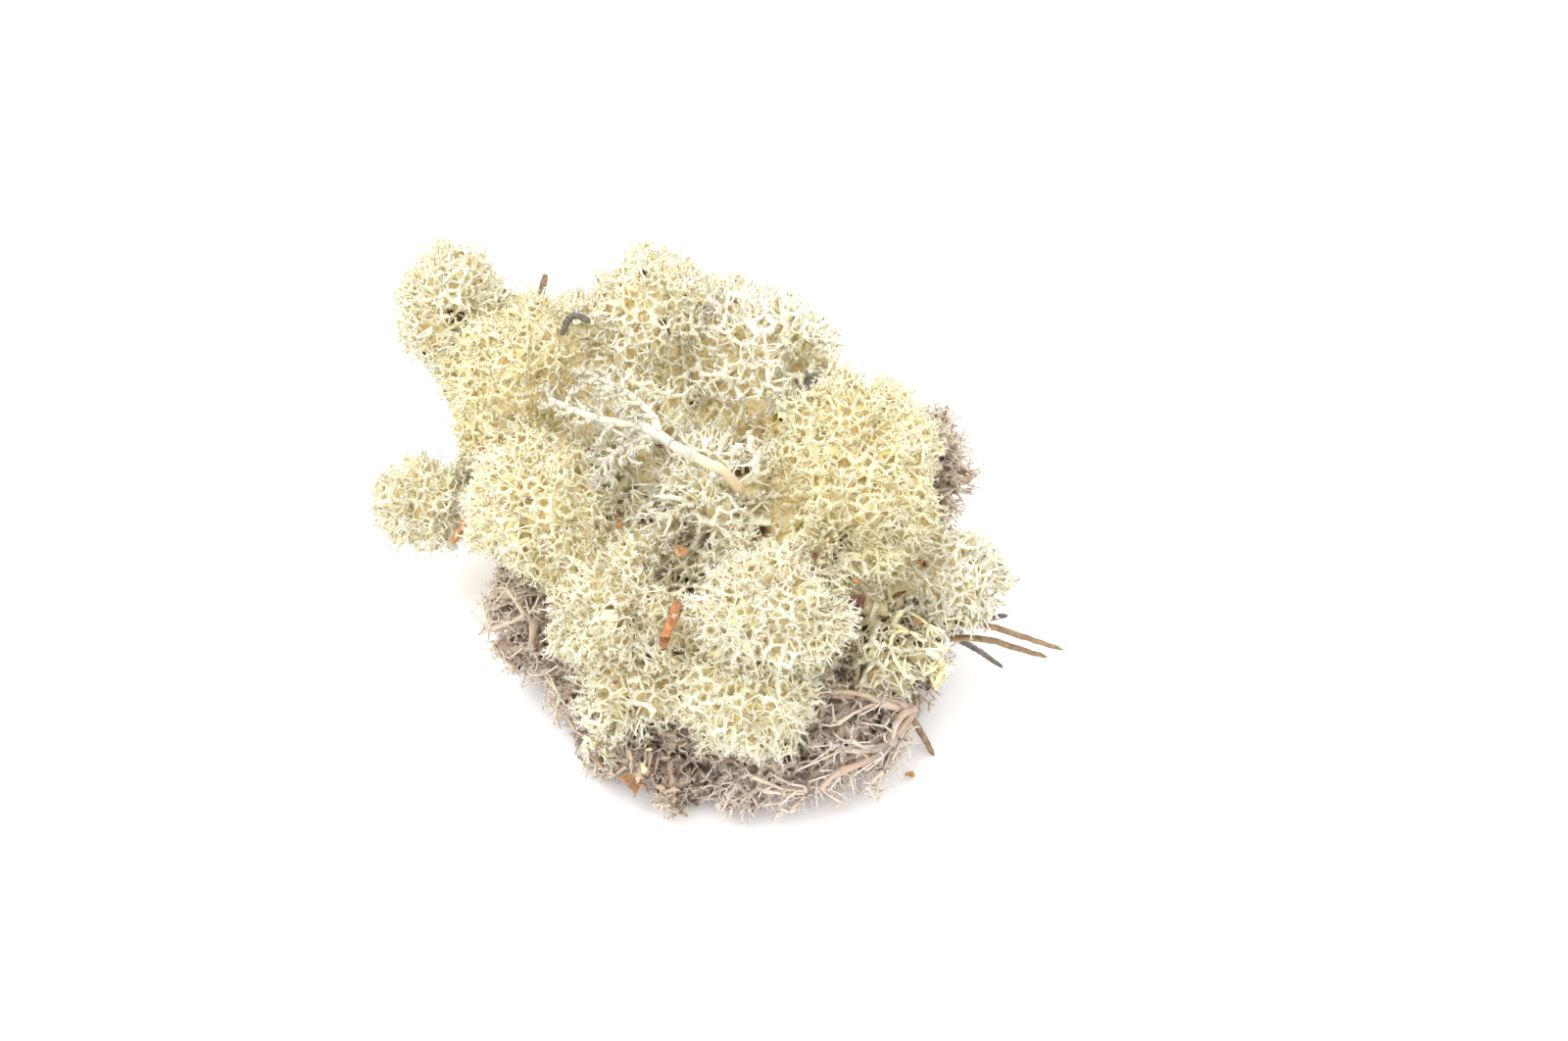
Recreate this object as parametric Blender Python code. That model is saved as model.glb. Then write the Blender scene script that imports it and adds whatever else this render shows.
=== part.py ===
"""A clump of reindeer lichen as picked: pale living crowns packed on tufts of dead grey-brown branches,
one bare branch lying over them, and the litter caught in it (pine needles, bark flakes, bud scales).

Each crown or tuft is one lichen plant. It is modelled as the closed envelope of its branch tips: a lumpy
ball about the plant's middle, flattened where a neighbour or the ground presses on it.
Sizes are in millimetres here and become metres through MM. +Z is up and the clump rests on z = 0.
"""

import math
from dataclasses import dataclass

import bmesh
import bpy
from mathutils import Euler, Vector, noise

MM = 0.001
GAP = 0.3  # clear space between two pieces that touch
BUMP_SPACING = 9.0  # distance between the bumps on a crown
BUMP_DEPTH = 0.1  # height of a bump, as a part of the crown's radius
NEEDLE_RADIUS = 0.5
FLAKE_THICKNESS = 0.6
GROUND = 0.0
FOOTPRINT_MIDDLE = (3.86, 2.43, 0)  # of the layout below: it becomes the origin

# name: (colour, roughness)
FINISHES = {
    "living_lichen": ((0.86, 0.82, 0.56), 0.9),
    "dead_lichen": ((0.42, 0.36, 0.30), 0.95),
    "bare_branch": ((0.87, 0.84, 0.68), 0.85),
    "brown_needle": ((0.26, 0.16, 0.08), 0.6),
    "grey_needle": ((0.22, 0.22, 0.15), 0.6),
    "bark": ((0.16, 0.07, 0.05), 0.8),
    "bud_scale": ((0.50, 0.22, 0.07), 0.6),
}


@dataclass
class Plant:
    """One lichen plant: an ellipsoid, before its neighbours press on it."""

    name: str
    centre: tuple
    radii: tuple
    finish: str = "living_lichen"

    @property
    def middle(self):
        return Vector(self.centre)

    def reach(self, toward):
        """Distance from the middle to the ellipsoid along a unit direction."""
        return 1 / Vector(part / radius for part, radius in zip(toward, self.radii)).length


@dataclass
class Strand:
    """A needle, a stick or a stretch of bare branch, along a few points from its thick end to its thin."""

    name: str
    points: tuple
    finish: str
    radius: float = NEEDLE_RADIUS
    taper: float = 0.4  # radius at the thin end, as a part of the full radius


@dataclass
class Flake:
    """A scrap of bark or a bud scale: a rounded plate, curled about its own Y axis."""

    name: str
    centre: tuple
    size: tuple
    turn: tuple
    finish: str
    curl: float = 40  # degrees from one edge to the other


PLANTS = [
    Plant("crown_back_left", (-36, 32, 38), (9, 12, 12)),
    Plant("crown_left_upper", (-24.5, 18.5, 37), (13, 15, 13)),
    Plant("crown_top", (-5, 25, 43), (11, 12.5, 12)),
    Plant("crown_open", (12, 19.5, 40), (13.5, 13, 11.5)),
    Plant("crown_right", (25.5, 1, 33), (14.5, 21, 18)),
    Plant("crown_middle", (-7, 9, 37), (12, 11, 10.5)),
    Plant("crown_centre", (4, -4.5, 36), (12, 11.5, 11)),
    Plant("crown_front", (14, -23, 33), (12.5, 10.5, 11)),
    Plant("crown_front_low", (10.5, -29, 19), (12, 9, 11)),
    Plant("crown_left_mid", (-20, -1, 32), (13.5, 14, 13)),
    Plant("crown_left_low", (-8, -17, 26), (12, 11, 12)),
    Plant("crown_far_left", (-41, 9.5, 17), (9.5, 8, 8)),
    Plant("crown_right_tip", (42, -10, 24), (9.5, 8, 7)),
    Plant("crown_right_low", (30, -15, 16), (11, 10, 10)),
    Plant("crown_left_foot", (-8, -25, 14), (9.5, 9, 10)),
    Plant("crown_back", (8, 34, 26), (14, 11, 14.5)),
    Plant("crown_back_foot", (-19, 33, 23), (14, 11, 13)),
    Plant("dead_left", (-21.5, -6.5, 13), (9.5, 11.5, 15), "dead_lichen"),
    Plant("dead_strands", (-13.5, -21.5, 10), (6, 6.5, 12), "dead_lichen"),
    Plant("dead_front_left", (-2, -29.5, 6), (10, 8, 8), "dead_lichen"),
    Plant("dead_front_middle", (12, -33, 5), (11, 7, 7), "dead_lichen"),
    Plant("dead_front_right", (24, -27.5, 7.5), (12.5, 10, 9), "dead_lichen"),
    Plant("dead_back_right", (37.5, 16.5, 17), (9, 10, 14), "dead_lichen"),
    Plant("dead_right", (31, -12, 6), (11, 11, 9), "dead_lichen"),
    Plant("dead_core_left", (-15, 12, 14), (18, 17, 19), "dead_lichen"),
    Plant("dead_core_right", (13, 6, 14), (20, 20, 20), "dead_lichen"),
    Plant("dead_back", (2, 32, 8), (17, 12, 11), "dead_lichen"),
]

STRANDS = [
    Strand("needle_pair_upper", ((33, -18.5, 20.5), (44, -15.7, 20), (57.6, -17.2, 16)), "brown_needle"),
    Strand("needle_pair_lower", ((35, -19, 18.6), (45, -17, 18), (56.4, -18, 14.4)), "brown_needle"),
    Strand("needle_grey", ((38, -13.5, 16), (44, -12, 15.5), (50.7, -9.7, 14)), "grey_needle"),
    Strand("needle_drooping", ((41, -12.5, 13), (45.5, -12.5, 9.5), (50, -12, 4)), "grey_needle"),
    Strand("needle_low", ((33.5, -20, 8), (36, -22.5, 4.5), (39, -26, 0.4)), "brown_needle"),
    Strand("needle_hooked", ((-18, 18.6, 48), (-16.4, 20.6, 50.4), (-13.8, 19.8, 49.6)), "brown_needle"),
    Strand("needle_top", ((-22.8, 30.5, 40), (-22, 33.5, 42), (-21.4, 35.6, 43)), "brown_needle"),
    Strand("needle_left", ((-35.5, -0.5, 21), (-33.5, 1.5, 24), (-31.5, 2.2, 27)), "bud_scale"),
    Strand("stick_front", ((0.2, -23, 35), (-1.5, -26, 32), (-2.4, -27, 28.5)), "brown_needle", 0.6, 0.7),
    Strand("branch_stem", ((7.5, -7.4, 46.5), (3, -5.6, 48), (-1.4, -3.2, 48.8)), "bare_branch", 0.8, 0.9),
    Strand("branch_front_arm", ((-4.3, -1.8, 48.6), (-9, -3.3, 47), (-12, -6, 45)), "bare_branch", 0.55),
    Strand("branch_middle_arm", ((-4.6, -0.4, 49), (-12, 1.2, 49), (-21, 7.5, 47)), "bare_branch", 0.65),
    Strand("branch_back_arm", ((-3, 0.2, 49.4), (-7, 4.4, 50.4), (-14, 9.5, 50)), "bare_branch", 0.55),
]

FLAKES = [
    Flake("bark_right", (26.5, -19.6, 30), (5, 4, FLAKE_THICKNESS), (35, 25, 20), "bark"),
    Flake("bark_top", (19.5, 12.5, 49), (5.5, 4.5, FLAKE_THICKNESS), (20, 25, -30), "bark"),
    Flake("bud_husk", (-6.6, -34, 3.8), (7, 4.2, FLAKE_THICKNESS), (10, -55, 40), "bud_scale", 170),
    Flake("bud_scale_middle", (0.5, -15.8, 38.5), (2.6, 2, FLAKE_THICKNESS), (50, 10, 0), "bud_scale"),
    Flake("crumb_ground", (35.6, -30.5, 0.6), (1.6, 1.3, FLAKE_THICKNESS), (10, 15, 0), "bud_scale"),
]


def clear_scene():
    for obj in list(bpy.data.objects):
        bpy.data.objects.remove(obj)


def collection(name):
    made = bpy.data.collections.new(name)
    bpy.context.scene.collection.children.link(made)
    return made


def material(name):
    colour, roughness = FINISHES[name]
    made = bpy.data.materials.new(name)
    made.use_nodes = True
    shader = made.node_tree.nodes["Principled BSDF"]
    shader.inputs["Base Color"].default_value = (*colour, 1)
    shader.inputs["Roughness"].default_value = roughness
    shader.inputs["Metallic"].default_value = 0
    return made


def walls(plant):
    """The planes that press on a plant, as (outward normal, distance): its neighbours and the ground."""
    found = [(Vector((0, 0, -1)), plant.middle.z - GROUND)]
    for other in PLANTS:
        if other is plant:
            continue
        across = other.middle - plant.middle
        toward = across.normalized()
        own_reach = plant.reach(toward)
        shared = across.length * own_reach / (own_reach + other.reach(-toward))
        found.append((toward, shared - GAP / 2))
    return found


def plant_mesh(plant):
    """A ball whose points move out to the plant's lumpy surface, no further than its walls."""
    bm = bmesh.new()
    bmesh.ops.create_uvsphere(bm, u_segments=16, v_segments=9, radius=1)
    planes = walls(plant)
    for vert in bm.verts:
        toward = vert.co.normalized()
        reach = plant.reach(toward)
        reach *= 1 + BUMP_DEPTH * noise.noise((plant.middle + toward * reach) / BUMP_SPACING)
        for normal, distance in planes:
            leaning = toward.dot(normal)
            if leaning * reach > distance:
                reach = distance / leaning
        vert.co = toward * reach * MM
    mesh = bpy.data.meshes.new(plant.name)
    bm.to_mesh(mesh)
    bm.free()
    mesh.shade_smooth()
    return mesh


def strand_curve(strand, name, extra=0.0):
    """A round curve through the strand's points, thinner toward its end and grown all round by extra."""
    curve = bpy.data.curves.new(name, "CURVE")
    curve.dimensions = "3D"
    curve.bevel_depth = strand.radius * MM
    curve.bevel_resolution = 1
    curve.resolution_u = 4
    curve.use_fill_caps = True
    spline = curve.splines.new("BEZIER")
    spline.bezier_points.add(len(strand.points) - 1)
    last = len(strand.points) - 1
    for index, (knot, point) in enumerate(zip(spline.bezier_points, strand.points)):
        knot.co = Vector(point) * MM
        knot.handle_left_type = "AUTO"
        knot.handle_right_type = "AUTO"
        knot.radius = 1 - (1 - strand.taper) * index / last + extra / strand.radius
    return curve


def flake_mesh(flake):
    """A rounded plate bent to an arc of the flake's curl, across its length."""
    length, width, thickness = flake.size
    arc = math.radians(flake.curl)
    bend = length / arc
    bm = bmesh.new()
    bmesh.ops.create_cone(bm, cap_ends=True, segments=14, radius1=0.5, radius2=0.5, depth=1)
    for vert in bm.verts:
        across, along, up = vert.co
        angle = across * arc
        radius = bend - up * thickness
        vert.co = Vector((radius * math.sin(angle), along * width, bend - radius * math.cos(angle))) * MM
    mesh = bpy.data.meshes.new(flake.name)
    bm.to_mesh(mesh)
    bm.free()
    return mesh


def pocket_mesh(flake):
    """The ball of space that a flake lies in, which is cut out of the plants around it."""
    bm = bmesh.new()
    bmesh.ops.create_icosphere(bm, subdivisions=2, radius=max(flake.size) * 0.5 * MM + 2 * GAP * MM)
    mesh = bpy.data.meshes.new(flake.name + "_pocket")
    bm.to_mesh(mesh)
    bm.free()
    return mesh


def as_mesh(curve_obj):
    """The curve object made a mesh object with its caps welded on, so that it can cut."""
    depsgraph = bpy.context.evaluated_depsgraph_get()
    mesh = bpy.data.meshes.new_from_object(curve_obj.evaluated_get(depsgraph))
    bm = bmesh.new()
    bm.from_mesh(mesh)
    bmesh.ops.remove_doubles(bm, verts=bm.verts, dist=0.01 * MM)
    bm.to_mesh(mesh)
    bm.free()
    made = bpy.data.objects.new(curve_obj.name, mesh)
    made.matrix_world = curve_obj.matrix_world
    bpy.data.objects.remove(curve_obj)
    return made


def add(data, name, holder, finish=None, place=(0, 0, 0), turn=(0, 0, 0)):
    obj = bpy.data.objects.new(name, data)
    obj.location = (Vector(place) - Vector(FOOTPRINT_MIDDLE)) * MM
    obj.rotation_euler = Euler([math.radians(angle) for angle in turn])
    if finish:
        obj.data.materials.append(finish)
    holder.objects.link(obj)
    return obj


def add_cutter(obj, holder):
    obj.hide_render = True
    obj.display_type = "WIRE"
    if obj.name not in holder.objects:
        holder.objects.link(obj)
    return obj


def corners(obj):
    return [obj.matrix_world @ Vector(corner) for corner in obj.bound_box]


def boxes_meet(one, other):
    """Whether the world boxes of two objects overlap."""
    for axis in range(3):
        one_span = [corner[axis] for corner in corners(one)]
        other_span = [corner[axis] for corner in corners(other)]
        if min(one_span) > max(other_span) or min(other_span) > max(one_span):
            return False
    return True


def cut(obj, cutter):
    boolean = obj.modifiers.new(cutter.name, "BOOLEAN")
    boolean.operation = "DIFFERENCE"
    boolean.object = cutter


def main():
    clear_scene()
    clump = collection("reindeer_lichen_clump")
    cutters = collection("cutters")
    finishes = {name: material(name) for name in FINISHES}

    plants = [add(plant_mesh(p), p.name, clump, finishes[p.finish], p.centre) for p in PLANTS]

    beds = []
    for strand in STRANDS:
        add(strand_curve(strand, strand.name), strand.name, clump, finishes[strand.finish])
        bed = add(strand_curve(strand, strand.name + "_bed", GAP), strand.name + "_bed", cutters)
        beds.append(add_cutter(as_mesh(bed), cutters))
    for flake in FLAKES:
        add(flake_mesh(flake), flake.name, clump, finishes[flake.finish], flake.centre, flake.turn)
        pocket = add(pocket_mesh(flake), flake.name + "_pocket", cutters, place=flake.centre)
        beds.append(add_cutter(pocket, cutters))

    bpy.context.view_layer.update()
    for plant in plants:
        for bed in beds:
            if boxes_meet(plant, bed):
                cut(plant, bed)


main()
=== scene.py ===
"""A clump of reindeer lichen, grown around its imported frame.

Each lichen plant in the frame is a closed lump with the outline of its branch tips. Here the lumps are fused
into one uneven outline, and each plant grows over its own part of it: two storeys of branches woven around
rounded holes, twigs that end in stars and, in open and dead plants, long branches that fork from the root. A
closed piece of old growth fills the middle. The bare branch, the needles and the flakes follow their own
solids. Lengths are in millimetres up to the moment a mesh is made.
"""

import math
from dataclasses import dataclass, replace
from functools import cache

import bpy
import numpy as np
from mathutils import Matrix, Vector, noise
from mathutils.bvhtree import BVHTree
from mathutils.kdtree import KDTree


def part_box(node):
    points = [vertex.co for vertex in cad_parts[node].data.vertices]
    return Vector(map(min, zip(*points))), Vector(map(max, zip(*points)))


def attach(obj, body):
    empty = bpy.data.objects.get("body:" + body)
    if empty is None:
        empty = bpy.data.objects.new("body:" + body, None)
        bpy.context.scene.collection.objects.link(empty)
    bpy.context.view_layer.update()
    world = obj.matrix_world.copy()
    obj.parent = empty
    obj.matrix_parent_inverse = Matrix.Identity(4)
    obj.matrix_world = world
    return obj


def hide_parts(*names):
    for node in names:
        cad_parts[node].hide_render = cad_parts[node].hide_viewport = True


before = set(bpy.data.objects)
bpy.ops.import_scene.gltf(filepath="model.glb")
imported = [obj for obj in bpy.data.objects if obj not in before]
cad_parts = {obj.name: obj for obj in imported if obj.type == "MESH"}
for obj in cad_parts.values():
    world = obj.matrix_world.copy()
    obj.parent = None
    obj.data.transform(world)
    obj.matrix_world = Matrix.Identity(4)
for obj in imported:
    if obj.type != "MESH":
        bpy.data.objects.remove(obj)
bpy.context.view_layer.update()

MM = 0.001
THICK = 40.0  # a thickness that asks for no care
SEAM = 3.0  # width over which the outline falls in toward the seam between two plants
SEAM_DEPTH = 0.6
SWELL = 2.6  # half the widest gap between plants that their branches bridge
WAVES = ((7.0, 2.3), (3.2, 1.0))  # (length, height) of the outline's unevenness
SKIN_STEP = 0.55  # between the points of the clump's outline
SEEN_FROM = (0.0, -0.5, 0.85)  # the side on which the holes are smallest
HIDDEN_STRETCH = 1.65  # how much wider apart they are where the clump is turned away from it
UNDER_STRETCH = 2.8  # and underneath
MISSING_SEEDS = 0.22  # share of holes left out, so that their neighbours widen
SIDE_STARS = 0.75  # share of branches with a star halfway
NET_SHARES = (0.2, 0.34)  # how deep each storey may lie at most, as a share of the clump's thickness
LONG_SHARE = 0.3  # the same for the tips of long branches
CORE_SHARES = (0.36, 0.42)  # the same for the bumps and the rest of the old growth
CORE_VOXEL = 1.3
CORE_STEPS = 5  # in which the old growth is drawn in from the outline
SHADED_HOLLOW_DEPTH = 1.5  # depth of a hollow beyond which the old growth in it takes the dark dead finish as painted shade
LOWEST_FORK = 0.85  # height above the floor
LOWEST_TIP = 0.55
NEEDLE_RADIUS = 0.46
STICK_RADIUS = 0.62
FLAKE_THICKNESS = 0.24
AGE_SPAN = 14.0  # distance below the tips at which a branch has its oldest colour


@dataclass
class Layer:
    """One storey of a plant: a net of branches joined fork to fork around rounded holes."""

    depth: float  # below the outline
    cell: float  # from the middle of one hole to the next
    width: float  # half of a branch's width
    ruffle: float  # how far a fork may sit above or below its storey


@dataclass
class Style:
    """How a kind of lichen branches."""

    layers: tuple = (Layer(0.8, 1.22, 0.12, 0.8), Layer(1.9, 2.6, 0.26, 0.8))
    core: float = 2.9  # depth of the old growth that no light passes through
    tuft: float = 6.5  # width of the small domes that a crown is made of
    cleft: float = 1.7  # depth of the furrows between them
    twig: tuple = (0.45, 1.35)  # length of the twigs that stand up from the outermost forks
    long_tips: float = 0  # spacing of the tips of long branches from the root, or 0 for none
    long_depth: float = 0.3  # how far below the outline those tips are
    fork_depth: float = 1.3  # how far a long branch's fork sits below its tips, in radii of the group
    long_radius: float = 0.15
    stoutest: float = 0.8  # radius of the main stem
    twig_radius: float = 0.12
    tip_radius: float = 0.09
    prongs: tuple = (4, 6)
    prong_length: float = 0.7
    prong_spread: float = 55


CUSHION = Style()
OPEN = replace(
    CUSHION,
    layers=(Layer(0.9, 1.9, 0.17, 1.1), Layer(3.0, 2.8, 0.27, 1.0)),
    core=3.2,
    cleft=2.4,
    twig=(0.5, 1.6),
    long_tips=2.3,
    long_depth=-0.2,
    long_radius=0.2,
    fork_depth=1.7,
)
DEAD = replace(
    CUSHION,
    layers=(Layer(2.0, 2.3, 0.2, 1.2), Layer(3.0, 3.2, 0.4, 1.0)),
    core=3.4,
    cleft=1.6,
    twig=(0.6, 2.0),
    long_tips=1.7,
    long_depth=0.1,
    fork_depth=1.5,
    twig_radius=0.15,
    tip_radius=0.1,
    prongs=(2, 4),
    prong_length=0.8,
    prong_spread=42,
)
HIDDEN = replace(DEAD, layers=(Layer(2.0, 3.0, 0.25, 1.2), Layer(3.0, 3.6, 0.4, 1.0)), long_tips=3.0)

# plant: (style, place of its root as parts of its box, tone from ivory at 0 to yellow at 1)
PLANTS = {
    "crown_back_left": (CUSHION, (0.7, 0.4, 0.1), 0.35),
    "crown_left_upper": (CUSHION, (0.6, 0.5, 0.1), 0.75),
    "crown_top": (CUSHION, (0.5, 0.4, 0.1), 0.35),
    "crown_open": (replace(OPEN, core=5.5), (0.4, 0.3, 0.1), 0.0),
    "crown_right": (CUSHION, (0.35, 0.5, 0.1), 0.75),
    "crown_middle": (replace(OPEN, core=4.2), (0.5, 0.5, 0.1), 0.2),
    "crown_centre": (replace(OPEN, core=4.2), (0.5, 0.5, 0.1), 0.1),
    "crown_front": (CUSHION, (0.5, 0.7, 0.1), 0.35),
    "crown_front_low": (CUSHION, (0.5, 0.9, 0.3), 0.35),
    "crown_left_mid": (CUSHION, (0.6, 0.6, 0.1), 0.6),
    "crown_left_low": (CUSHION, (0.5, 0.8, 0.1), 0.4),
    "crown_far_left": (CUSHION, (0.9, 0.5, 0.3), 0.35),
    "crown_right_tip": (CUSHION, (0.1, 0.5, 0.3), 0.1),
    "crown_right_low": (replace(OPEN, stoutest=0.45), (0.2, 0.5, 0.3), 0.3),
    "crown_left_foot": (replace(OPEN, stoutest=0.45), (0.5, 0.5, 0.2), 0.25),
    "crown_back": (CUSHION, (0.5, 0.3, 0.1), 0.5),
    "crown_back_foot": (CUSHION, (0.6, 0.3, 0.2), 0.5),
    "dead_left": (DEAD, (0.8, 0.6, 0.2), 0.6),
    "dead_strands": (DEAD, (0.8, 0.8, 0.2), 0.7),
    "dead_front_left": (DEAD, (0.5, 0.9, 0.2), 0.6),
    "dead_front_middle": (DEAD, (0.9, 0.8, 0.5), 0.15),
    "dead_front_right": (DEAD, (0.95, 0.6, 0.5), 0.15),
    "dead_back_right": (DEAD, (0.2, 0.4, 0.2), 0.6),
    "dead_right": (DEAD, (0.3, 0.7, 0.2), 0.8),
    "dead_core_left": (HIDDEN, (0.5, 0.5, 0.5), 0.4),
    "dead_core_right": (HIDDEN, (0.5, 0.5, 0.5), 0.4),
    "dead_back": (DEAD, (0.5, 0.3, 0.3), 0.5),
}

# node: (place in its box, radius, depth) of the hollows; where they are deep, the old growth at the bottom
# takes the dark dead finish as painted shade
HOLLOWS = {
    "bud_scale_middle": ((0.3, 0.6, 0.5), 5.0, 3.5),
    "bark_right": ((0.5, 0.5, 0.5), 4.5, 4.5),
    "bud_husk": ((0.5, 0.5, 0.5), 3.2, 3.0),
    "needle_pair_upper": ((0.1, 0.5, 0.5), 3.5, 2.5),
    "needle_left": ((0.5, 0.5, 0.5), 2.5, 2.0),
    "crown_left_foot": ((0.6, 0.5, 0.9), 2.2, 4.0),
    "branch_stem": ((1.0, 0.0, 0.5), 3.0, 3.0),
    "branch_front_arm": ((0.6, 0.1, 0.5), 3.6, 3.0),
}

# share of the stars with brown spore-bearing tips
DOTTED = {
    "crown_left_upper": 0.45,
    "crown_back_left": 0.15,
    "crown_top": 0.3,
    "crown_left_low": 0.25,
    "crown_front": 0.1,
    "crown_right": 0.08,
}


@dataclass
class Spray:
    """Long branches that run over the outline."""

    root: tuple  # as parts of the plant's box
    way: tuple  # in which it spreads from there
    over: tuple  # the plants that they run over
    reach: float
    spacing: float  # of their tips
    lift: float  # above the outline
    style: Style


LONG_DEAD = replace(DEAD, fork_depth=2.1, long_radius=0.19, stoutest=0.62, prongs=(3, 5))
SPRAYS = {
    "dead_front_right": Spray(
        (0.95, 0.6, 0.7), (-1, -0.4, 0), ("dead_front_right", "dead_front_middle"), 27, 1.9, 1.0, LONG_DEAD
    ),
    "dead_left": Spray(
        (0.75, 0.35, 0.8), (-0.4, -1, 0), ("dead_left", "dead_strands"), 22, 2.5, 0.5, LONG_DEAD
    ),
}


def unit(vectors):
    """The rows scaled to length 1."""
    return vectors / np.maximum(np.linalg.norm(vectors, axis=-1, keepdims=True), 1e-9)


# ---------------- the lumps and their free surface


def read(items, what, kind=float):
    """Three numbers for each of a mesh's vertices or triangles."""
    values = np.empty(len(items) * 3, kind)
    items.foreach_get(what, values)
    return values.reshape(-1, 3)


def add_object(name, data):
    """A new object in the scene."""
    made = bpy.data.objects.new(name, data)
    bpy.context.scene.collection.objects.link(made)
    return made


@cache
def solid(node):
    """Vertices in mm and triangles of a CAD node."""
    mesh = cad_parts[node].data
    mesh.calc_loop_triangles()
    return read(mesh.vertices, "co") / MM, read(mesh.loop_triangles, "vertices", int)


def all_lumps(swell=0.0):
    """The lumps as one mesh, each swollen by that much, and the number of each triangle's plant."""
    verts, tris, owner, start = [], [], [], 0
    for number, node in enumerate(PLANTS):
        lump_verts, lump_tris = solid(node)
        middle = (lump_verts.min(0) + lump_verts.max(0)) / 2
        verts.append(lump_verts + swell * unit(lump_verts - middle))
        tris.append(lump_tris + start)
        owner += [number] * len(lump_tris)
        start += len(lump_verts)
    return np.concatenate(verts).tolist(), np.concatenate(tris).tolist(), owner


def spot_in(node, place):
    """The spot at that place in the node's box, given as parts of its sides."""
    low, high = (np.array(corner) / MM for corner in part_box(node))
    return low + np.array(place) * (high - low)


def scattered(points, mask, spacing, rng):
    """Indices of masked points, picked at random, that keep the spacing from each other."""
    picks = np.flatnonzero(mask)
    rng.shuffle(picks)
    kept, cells = [], {}
    keys = np.floor(points[picks] / spacing).astype(int)
    around = [(x, y, z) for x in (-1, 0, 1) for y in (-1, 0, 1) for z in (-1, 0, 1)]
    limit = spacing**2
    for pick, (x, y, z), point in zip(picks, keys.tolist(), points[picks].tolist()):
        others = (other for i, j, k in around for other in cells.get((x + i, y + j, z + k), ()))
        if all(sum((a - b) ** 2 for a, b in zip(point, other)) >= limit for other in others):
            kept.append(pick)
            cells.setdefault((x, y, z), []).append(point)
    return np.array(kept, int)


def remeshed(name, verts, tris, voxel, smoothing):
    """A mesh with modifiers that fuse it into one even skin."""
    mesh = bpy.data.meshes.new(name)
    mesh.from_pydata(verts, [], tris)
    skin = add_object(name, mesh)
    fuse = skin.modifiers.new("fuse", "REMESH")
    fuse.mode = "VOXEL"
    fuse.voxel_size = voxel
    fuse.use_smooth_shade = True
    even = skin.modifiers.new("even", "SMOOTH")
    even.iterations = smoothing
    return skin


def evaluated(skin):
    """The object with its modifiers applied."""
    return skin.evaluated_get(bpy.context.evaluated_depsgraph_get())


def whole_clump():
    """The outline of the clump: all lumps swollen, fused and shrunk back, which closes the narrow gaps."""
    verts, tris, _ = all_lumps(SWELL)
    swollen = remeshed("swollen", verts, tris, SKIN_STEP, 6)
    skin = evaluated(swollen).to_mesh()
    points, normals = read(skin.vertices, "co"), read(skin.vertices, "normal")
    skin.calc_loop_triangles()
    tris = read(skin.loop_triangles, "vertices", int)
    bpy.data.objects.remove(swollen)
    rise = np.zeros(len(points))
    for long, high in WAVES:
        rise += [high * noise.noise(Vector(point) / long) for point in points]
    points -= (SWELL - 0.3 - rise)[:, None] * normals
    return outer_part(points, normals, tris)


def outer_part(points, normals, tris):
    """The largest connected part of a mesh, without the hollows inside it."""
    label = np.arange(len(points))
    one = tris.ravel()
    two = np.roll(tris, 1, axis=1).ravel()
    while True:
        lowest = np.minimum(label[one], label[two])
        before = label.copy()
        np.minimum.at(label, label[one], lowest)
        np.minimum.at(label, label[two], lowest)
        label = label[label]
        if (label == before).all():
            break
    kept = label == np.bincount(label).argmax()
    renumbered = np.cumsum(kept) - 1
    return points[kept], normals[kept], renumbered[tris[kept[tris[:, 0]]]]


def nearest_plant(points):
    """For each point, the plant whose lump is nearest, and how much further the next one's is, up to SEAM."""
    verts, tris, owner = all_lumps()
    tree = BVHTree.FromPolygons(verts, tris)
    nearest, margin = [], []
    for point in points.tolist():
        _, _, face, distance = tree.find_nearest(point)
        around = tree.find_nearest_range(point, distance + SEAM)
        others = [reach for _, _, other, reach in around if owner[other] != owner[face]]
        nearest.append(owner[face])
        margin.append(min(others) - distance if others else SEAM)
    return np.array(nearest), np.array(margin)


def hollows():
    """How far the outline falls in at each of its points, at the hollows."""
    fall = np.zeros(len(OUTLINE))
    for node, (place, radius, depth) in HOLLOWS.items():
        away = np.linalg.norm((OUTLINE - spot_in(node, place))[:, :2], axis=1)
        fall += depth * np.exp(-((away / radius) ** 2)) * (NORMALS[:, 2] > -0.2)
    return fall


def thickness():
    """How far it is from each point of the outline, straight in, to the other side."""
    through = []
    for point, normal in zip(OUTLINE, NORMALS):
        _, _, _, far = OUTLINE_TREE.ray_cast((point - 0.2 * normal).tolist(), (-normal).tolist(), THICK)
        through.append(THICK if far is None else far)
    return np.array(through)


def sunk_by(depth, share):
    """The outline drawn in by that depth and its furrows, but by no more than that share of its thickness."""
    return OUTLINE - NORMALS * np.minimum(depth + FURROW, share * THROUGH)[:, None]


def finder(points):
    """A tree that finds the nearest of the points."""
    tree = KDTree(len(points))
    for index, point in enumerate(points.tolist()):
        tree.insert(point, index)
    tree.balance()
    return tree


def closest(tree, points):
    """For each point, the index of the nearest one in the tree."""
    return np.array([tree.find(point)[1] for point in points.tolist()], int)


def tuft_of(points, middles):
    """For each point, the nearest tuft, and how its distance compares with the second nearest's."""
    tree = finder(middles)
    nearest, ratio = [], []
    for point in points.tolist():
        found = tree.find_n(point, 2)
        nearest.append(found[0][1])
        ratio.append(found[0][2] / max(found[-1][2], 1e-6))
    return np.array(nearest), np.array(ratio)


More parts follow.
